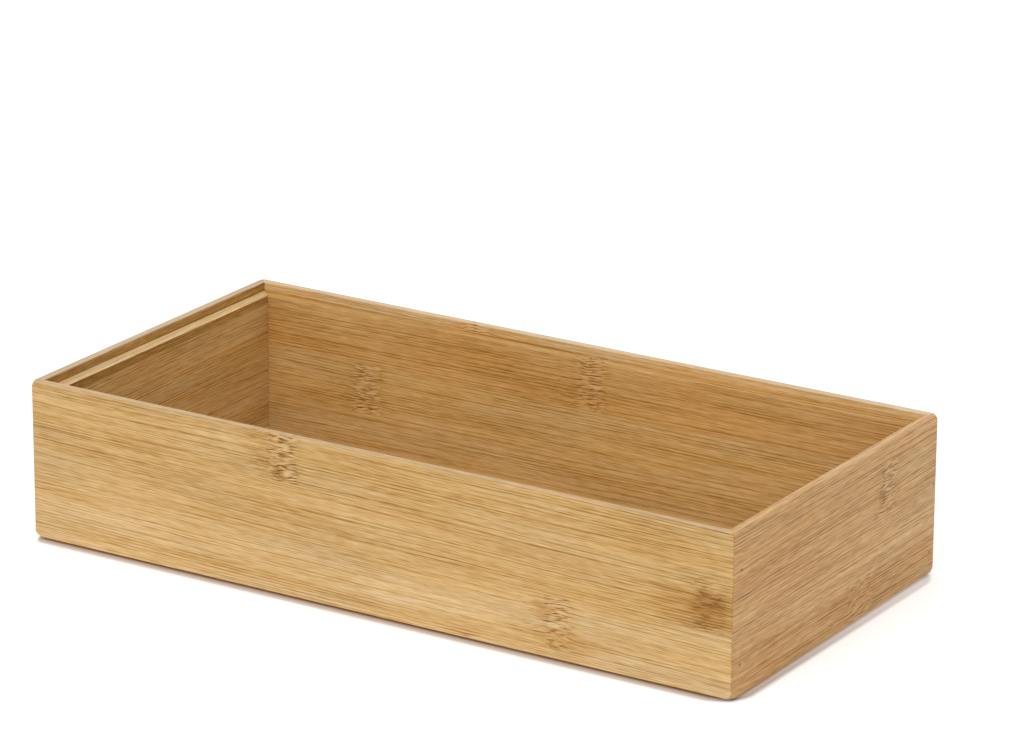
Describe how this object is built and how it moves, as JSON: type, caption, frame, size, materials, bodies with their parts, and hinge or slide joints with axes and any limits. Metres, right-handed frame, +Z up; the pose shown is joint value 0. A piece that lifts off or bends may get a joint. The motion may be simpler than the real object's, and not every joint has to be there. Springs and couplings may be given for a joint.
{
  "type": "vanity organizer",
  "caption": "Long, low, open-topped bamboo box with mitred corners, for toiletries on a vanity. Its raised base drops into the rabbeted rim of another such box.",
  "frame": {"origin": "middle of the underside of the base board, on the surface that the box stands on", "axes": "+Z up; +X along the length, to the right as seen from the front; +Y across the width, from the front wall to the back wall"},
  "size_m": [0.3048, 0.1524, 0.0635],
  "materials": {
    "bamboo_wall": "clear satin lacquer on carbonised-to-natural bamboo strips",
    "bamboo_base": "clear satin lacquer on natural bamboo strips",
    "steel_pin": "plain drawn wire, dulled"
  },
  "bodies": {
    "root": {"front_wall_foot_strip": "bamboo_wall", "front_wall_lower_strip": "bamboo_wall", "front_wall_upper_strip": "bamboo_wall", "front_wall_rim_strip": "bamboo_wall", "back_wall_foot_strip": "bamboo_wall", "back_wall_lower_strip": "bamboo_wall", "back_wall_upper_strip": "bamboo_wall", "back_wall_rim_strip": "bamboo_wall", "left_wall_foot_strip": "bamboo_wall", "left_wall_lower_strip": "bamboo_wall", "left_wall_upper_strip": "bamboo_wall", "left_wall_rim_strip": "bamboo_wall", "right_wall_foot_strip": "bamboo_wall", "right_wall_lower_strip": "bamboo_wall", "right_wall_upper_strip": "bamboo_wall", "right_wall_rim_strip": "bamboo_wall", "base_strip_1": "bamboo_base", "base_strip_2": "bamboo_base", "base_strip_3": "bamboo_base", "base_strip_4": "bamboo_base", "base_strip_5": "bamboo_base", "base_strip_6": "bamboo_base", "base_strip_7": "bamboo_base", "front_left_corner_pins": "steel_pin", "front_right_corner_pins": "steel_pin", "back_left_corner_pins": "steel_pin", "back_right_corner_pins": "steel_pin"}
  },
  "joints": []
}
